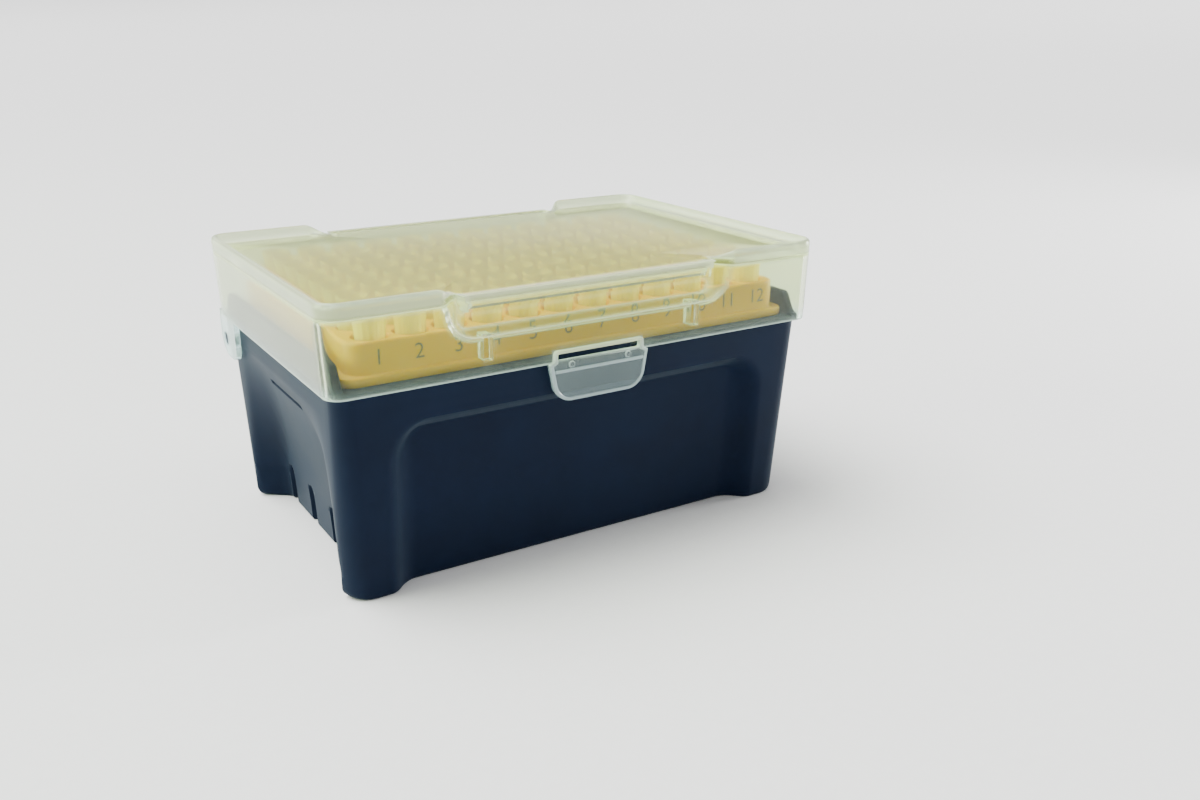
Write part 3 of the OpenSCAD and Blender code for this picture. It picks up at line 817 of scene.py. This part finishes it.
def scoopDent(x, z):
    # how deep the finger scoop is here
    scoop = lidShell["scoop"]
    across = abs(x) + scoop["lean"] * (lidShell["top"] - z)
    dx = max(0.0, across - (scoop["half"] - scoop["corner"]))
    dz = max(0.0, scoop["z"] + scoop["corner"] - z)
    away = math.hypot(dx, dz)
    if away < 1e-6:
        return 1.0
    lean = (dx / away) ** 2
    width = scoop["side"] * lean + scoop["ledge"] * (1 - lean)
    return scoop["depth"] * ease((scoop["corner"] - away) / width, *scoop["rounded"])


def scoopInside(x, z):
    # the inner face runs one wall's thickness behind the outer one, however steep that is
    wall = lidShell["scoopWall"]
    deepest = scoopDent(x, z)
    for share in (0.35, 0.65, 0.87, 1.0):
        for turn in range(12):
            dx, dz = wall * share * math.cos(turn * math.pi / 6), wall * share * math.sin(turn * math.pi / 6)
            behind = scoopDent(x + dx, z + dz) - wall * (1 - math.sqrt(1 - share * share))
            deepest = max(deepest, behind)
    return deepest


def lidPlace(level, x, y):
    skin, inset, z = lidLevels[level]
    halfX, halfY, corner = lidShell["outline"]
    if isinstance(inset, tuple):
        ring = inset
    else:
        lean = lidShell["flare"] * (z - lidShell["foot"]) / (lidShell["top"] - lidShell["foot"])
        ring = (halfX - inset + lean, halfY - inset + lean, max(corner - inset + lean, 0.7))
    px, py, outX, outY = onRing(x, y, lidShell["outline"], ring, lidShell["steady"])
    if abs(outY) < 0.999 or skin == "flat":
        return px, py, z
    if skin == "inside":
        return px, py - outY * scoopInside(px, z), z
    notch, plateTop = lidShell["notch"], lidShell["plateTop"]
    if z > plateTop:
        whole = ease((abs(px) - notch["from"]) / (notch["to"] - notch["from"]), *notch["rounded"])
        z = plateTop + (z - plateTop) * (notch["left"] + (1 - notch["left"]) * whole)
    return px, py - outY * scoopDent(px, min(z, lidShell["scoop"]["upTo"])), z


# levels as on the base: from the middle of the plate over the rim, down the outside and up the inside
lidMiddle = (45.0, 25.0, 4.0)
wallZ = [67.0, 66.6, 66.2, 65.6, 64.6, 63.6, 62.6, 61.8, 61.1, 60.5, 60.0, 59.6, 59.2, 58.85, 58.55, 58.3,
         58.15, 58.0, 57.85, 57.7, 57.55, 57.4, 57.25, 57.12, 57.0, 56.85, 56.6, 56.0, 54.5, 53, 51.5, 50,
         49.0, 48.6]
innerZ = [48.7, 50, 52, 54, 55.0, 55.4, 55.6, 55.75, 55.9, 56.1, 56.3, 56.5, 56.7, 56.9, 57.1, 57.3, 57.6,
          57.9, 58.4, 59, 59.7, 60.5, 61.5, 62.6, 63.6, 64.2]
lidLevels = [("flat", lidMiddle, lidShell["plateTop"]), ("plate", 4.6, lidShell["plateTop"])]
lidLevels += [("plate", inset, z) for inset, z in (
    (3.6, 66.16), (2.9, 66.34), (2.35, 66.64), (1.95, 67.02), (1.7, 67.4), (1.5, 67.8), (1.32, 68.12),
    (1.1, 68.32), (0.85, lidShell["top"]), (0.62, 68.37), (0.4, 68.24), (0.2, 68.0), (0.07, 67.65))]
lidLevels += [("outside", 0.0, z) for z in wallZ]
lidLevels += [("outside", inset, z) for inset, z in (
    (0.03, 48.38), (0.12, 48.26), (0.3, lidShell["foot"]), (1.0, lidShell["foot"]))]
lidLevels += [("inside", 1.2, 48.28)]
lidLevels += [("inside", lidShell["wall"], z) for z in innerZ]
lidLevels += [("inside", inset, z) for inset, z in (
    (1.45, 64.5), (1.75, 64.65), (2.3, lidShell["plateUnder"]), (4.0, lidShell["plateUnder"]))]
lidLevels += [("flat", lidMiddle, lidShell["plateUnder"])]
# upright cuts, close together where the scoop's side turns and the rim drops
lidCutsX = [0, 4, 8, 12, 16, 20, 23, 25, 26.5, 27.5, 28.3, 29, 29.6, 30.2, 30.8, 31.4, 32, 32.6, 33.2, 33.8,
            34.4, 35, 35.6, 36.2, 36.8, 37.4, 38, 38.6, 39.2, 40, 42, 46, 50, 54, 57]
lidCutsY = [0, 8, 16, 24, 30, 36]


def makeLatch():
    # the pull tab and the frame of its window, in one plate
    latch, foot = lidShell["latch"], lidShell["foot"]
    plate = bar("latch", (-latch["half"], latch["face"], latch["foot"]),
                (latch["half"], latch["back"], latch["top"]))
    bpy.ops.object.mode_set(mode="EDIT")
    cutAt(2, [foot, foot + latch["neck"]])

    def taper(v):
        if v.co.z < (latch["foot"] + 0.1) * mm:
            v.co.x *= latch["footHalf"] / latch["half"]
        elif v.co.z > (foot + 0.5) * mm:
            v.co.x *= latch["frameHalf"] / latch["half"]

    moveEach(plate, taper)
    roundEdges(plate, latch["corner"], 8, lambda e: span(e, 1) > 0.5 * mm and e.verts[0].co.z < 45 * mm)
    roundEdges(plate, latch["topCorner"], 4, lambda e: span(e, 1) > 0.5 * mm and e.verts[0].co.z > 51 * mm)
    choose(plate, "FACE", lambda f: f.normal.y < -0.9)
    bpy.ops.mesh.dissolve_faces()
    for inset, push in lidShell["bead"]:
        bpy.ops.mesh.inset(thickness=inset * mm)
        if push:
            bpy.ops.transform.translate(value=(0, -push * mm, 0))
    faceOut()
    bpy.ops.object.mode_set(mode="OBJECT")
    return plate


def makeEar(side):
    # the plate at the end of the lid that the hinge pin snaps into
    lug = lidShell["lug"]
    near, far = sorted((side * (lidHigh[0] - lidShell["wall"]), side * lidHigh[0]))
    ear = bar("ear", (near, lug["front"], lug["foot"]), (far, lug["rear"], lug["top"]))
    bpy.ops.object.mode_set(mode="EDIT")
    for low, high, corner in lug["corners"]:
        roundEdges(ear, corner, 8, lambda e: span(e, 0) > mm and e.verts[0].co.z < lug["roundBelow"] * mm
                   and low * mm < e.verts[0].co.y < high * mm)
    bpy.ops.object.mode_set(mode="OBJECT")
    return ear


def markEdges(lid):
    # writes how tightly the surface bends, from 0 at a radius of 3 mm to 1 at 0.8 mm; the lid's finish raises
    # its haze by this, a painted highlight that stands for the light which moulded edges, beads and the thick
    # edge of the plate gather, so that they look whiter than the flat walls
    edges = lidShell["edges"]
    mesh = bmesh.new()
    mesh.from_mesh(lid.data)
    bends = {}
    for face in mesh.faces:
        turned = sum(e.calc_face_angle(0.0) * e.calc_length() for e in face.edges)
        tightness = turned / (2 * max(face.calc_area(), 1e-12)) * mm
        bend = min(1.0, max(0.0, (tightness - edges["mild"]) / (edges["tight"] - edges["mild"])))
        middle, way = face.calc_center_median(), face.normal
        onEnd = abs(middle.x) > edges["earFrom"] * mm
        upright = abs(way.z) < 0.7 and (abs(way.x) < 0.25 or onEnd)
        if middle.z > edges["rimFrom"] * mm or middle.z > edges["plateEdgeFrom"] * mm and upright:
            bend = max(bend, edges["rim"])
        elif middle.z < edges["wallFoot"] * mm:
            # the hinge ears are evenly frosted, the thumb tab lightly
            bend = edges["ear"] if onEnd else max(bend, edges["tab"])
        bends[face.index] = bend
    near = []
    for v in mesh.verts:
        areas = [(f.calc_area(), bends[f.index]) for f in v.link_faces]
        near.append(sum(a * b for a, b in areas) / max(sum(a for a, b in areas), 1e-15))
    mesh.free()
    lid.data.attributes.new("edgeHighlightAndFrost", "FLOAT", "POINT").data.foreach_set("value", near)


def makeLid():
    lid = wallTube("lid_shell", lidShell["outline"], lidCutsX, lidCutsY, len(lidLevels))
    fold(lid, lidPlace)
    print("lid walls folded")
    latch, window, pocket = lidShell["latch"], lidShell["window"], lidShell["pocket"]
    bump, ridge, ribs, lug = (lidShell[key] for key in ("bump", "ridge", "ribs", "lug"))
    face, back = latch["face"], latch["back"]
    weld(lid, makeLatch())
    (front, rear), (low, high) = window["y"], window["z"]
    weld(lid, bar("pocket", (-pocket["half"], back, pocket["from"]),
                  (pocket["half"], back + pocket["depth"], high)), "DIFFERENCE")
    weld(lid, bar("window", (-window["half"], front, low), (window["half"], rear, high),
                  window["rounding"], along=1), "DIFFERENCE")
    for side in (-1, 1):
        weld(lid, rod("bump", (side * bump["x"], face, bump["z"]), bump["radius"], bump["length"], 24,
                      bump["rounding"], turn=(math.pi / 2, 0, 0)))
    low, high = ridge["z"]
    weld(lid, bar("ridge", (-ridge["half"], face - ridge["out"], low),
                  (ridge["half"], face + ridge["in"], high), ridge["rounding"]))
    for side in (-1, 1):
        middle, half = side * ribs["x"], ribs["wide"] / 2
        (front, rear), (low, high) = ribs["y"], ribs["z"]
        weld(lid, bar("rib", (middle - half, front, low), (middle + half, rear, high), ribs["rounding"]))
    for side in (-1, 1):
        weld(lid, makeEar(side))
        weld(lid, rod("hole", (side * lidHigh[0], hingeY, hingeZ), lug["hole"], lug["holeLength"], 40),
             "DIFFERENCE")
    finishPiece(lid, ["lid"], lidBody, milky, angle=32)
    markEdges(lid)


# plain column numbers, printed on the front of the rack, in mm
printSettings = {"high": 3.4, "z": 53.0, "y": -36.1, "thick": 0.04, "digitShare": 0.7, "join": 0.002}


def makeNumbers():
    pitch, columns = rackPlate["pitch"], rackPlate["columns"]
    signs = []
    for column in range(columns):
        quiet()
        bpy.ops.object.text_add(rotation=(math.pi / 2, 0, 0), location=(
            (column - (columns - 1) / 2) * pitch * mm, printSettings["y"] * mm, printSettings["z"] * mm))
        sign = bpy.context.object
        sign.data.body = str(column + 1)
        sign.data.align_x = "CENTER"
        sign.data.size = printSettings["high"] / printSettings["digitShare"] * mm
        sign.data.extrude = printSettings["thick"] / 2 * mm
        sign.data.resolution_u = 4
        bpy.ops.object.convert(target="MESH")
        signs.append(keepPlace("number"))
    numbers = joinAll(signs, "rack_numbers")
    bpy.ops.object.mode_set(mode="EDIT")
    bpy.ops.mesh.select_all(action="SELECT")
    # a digit's faces and sides come out of the text loose
    bpy.ops.mesh.remove_doubles(threshold=printSettings["join"] * mm)
    bpy.ops.object.mode_set(mode="OBJECT")
    finishPiece(numbers, [], caseBody, ink, angle=30)


makeBase()
makeRack()
makeTips()
makeLid()
makeNumbers()
print("pieces made")


# studio, in metres except for the camera's place in mm
studio = {
    "eye": (-127.46, -247.414, 122.163),
    "right": (0.8490056, -0.5283834, 0.0006404),
    "up": (0.1736626, 0.280185, 0.9441068),
    "ahead": (0.4990298, 0.8014408, -0.329639),
    "lens": 33.7215,
    "floor": {"radius": 4.0, "sides": 96},
    # the floor's edge sweeps up: how each further ring grows, and how much it rises
    "sweep": ((1.3, 0.02), (1.2, 0.08), (1.12, 0.2), (1.06, 0.35), (1.03, 0.45), (1.01, 0.5)),
    # the room is brightest overhead, to the rear left
    "brightWay": (-0.3, 0.45, 0.84),
    "room": {"From Min": 0.4, "From Max": 0.9, "To Min": 0.35, "To Max": 1.5},
    "lamps": {
        # a very wide lamp from above and behind lights the whole floor evenly
        "key": {"kind": "SUN", "at": (-0.42, 0.36, 0.83), "aim": (0, 0, 0), "power": 5.6, "spread": 50},
        "left_wall": {"kind": "AREA", "at": (-0.95, 0.2, 0.2), "aim": (0, 0, 0.04), "power": 10.0,
                      "size": (0.6, 0.5), "tint": (0.8, 1.0, 0.65)},
        # grazes the front, so that the sides of its sunken panel catch the light
        "right_graze": {"kind": "AREA", "at": (0.8, -0.15, 0.15), "aim": (0, 0, 0.04), "power": 6.0,
                        "size": (0.2, 0.3)},
    },
}


def makeCamera():
    eye = bpy.data.cameras.new("camera")
    camera = bpy.data.objects.new("camera", eye)
    bpy.context.collection.objects.link(camera)
    eye.sensor_width = 36.0
    eye.lens = studio["lens"]
    eye.clip_start, eye.clip_end = 0.01, 20.0
    axes = Matrix((Vector(studio["right"]), Vector(studio["up"]), -Vector(studio["ahead"])))
    turn = axes.transposed().to_quaternion()
    camera.matrix_world = Matrix.LocRotScale(Vector(studio["eye"]) * mm, turn, None)
    bpy.context.scene.camera = camera


def makeFloor():
    floor = ringOf("studio_floor", studio["floor"]["sides"], studio["floor"]["radius"])
    for out, rise in studio["sweep"]:
        bpy.ops.mesh.extrude_region_move(TRANSFORM_OT_translate={"value": (0, 0, rise)})
        bpy.ops.transform.resize(value=(out, out, 1), center_override=(0, 0, 0))
    choose(floor, "EDGE", lambda e: all(v.co.z < 0.01 for v in e.verts))
    bpy.ops.mesh.edge_face_add()
    bpy.ops.object.mode_set(mode="OBJECT")
    bpy.ops.object.shade_smooth_by_angle(angle=math.radians(40))
    # matt seamless paper, with a hint of fibre at 2.5 mm, 400 to a metre, coarser than real so that it shows
    material, tree = newFinish("studio_paper")
    place = addNode(tree, "ShaderNodeTexCoord")
    fibre = addNode(tree, "ShaderNodeTexNoise", {"Scale": 400.0}, {"Vector": (place, "Object")})
    tone = addNode(tree, "ShaderNodeValToRGB", {"stops": ((0.0, "#f2f2f2"), (1.0, "#f6f6f6"))},
                   {"Fac": (fibre, "Fac")})
    shader = addNode(tree, "ShaderNodeBsdfPrincipled", {"Roughness": 0.8, "Specular IOR Level": 0.2},
                     {"Base Color": (tone, "Color")})
    addNode(tree, "ShaderNodeOutputMaterial", {}, {"Surface": (shader, "BSDF")})
    floor.data.materials.append(material)


def makeLight():
    world = bpy.data.worlds.new("studio")
    bpy.context.scene.world = world
    world.use_nodes = True
    tree = world.node_tree
    tree.nodes.clear()
    way = addNode(tree, "ShaderNodeTexCoord")
    facing = addNode(tree, "ShaderNodeVectorMath", {"operation": "DOT_PRODUCT", 1: studio["brightWay"]},
                     {0: (way, "Generated")})
    level = addNode(tree, "ShaderNodeMapRange", studio["room"], {"Value": (facing, "Value")})
    sky = addNode(tree, "ShaderNodeBackground", {"Color": (1, 1, 1, 1)}, {"Strength": (level, "Result")})
    addNode(tree, "ShaderNodeOutputWorld", {}, {"Surface": (sky, "Background")})
    for name, settings in studio["lamps"].items():
        lamp = bpy.data.lights.new(name, settings["kind"])
        lamp.energy = settings["power"]
        lamp.color = settings.get("tint", (1, 1, 1))
        if "spread" in settings:
            lamp.angle = math.radians(settings["spread"])
        if "size" in settings:
            lamp.shape = "RECTANGLE"
            lamp.size, lamp.size_y = settings["size"]
        holder = bpy.data.objects.new(name, lamp)
        bpy.context.collection.objects.link(holder)
        at = Vector(settings["at"])
        holder.location = at
        holder.rotation_euler = (Vector(settings["aim"]) - at).to_track_quat("-Z", "Y").to_euler()


makeCamera()
makeFloor()
makeLight()
print("studio set")
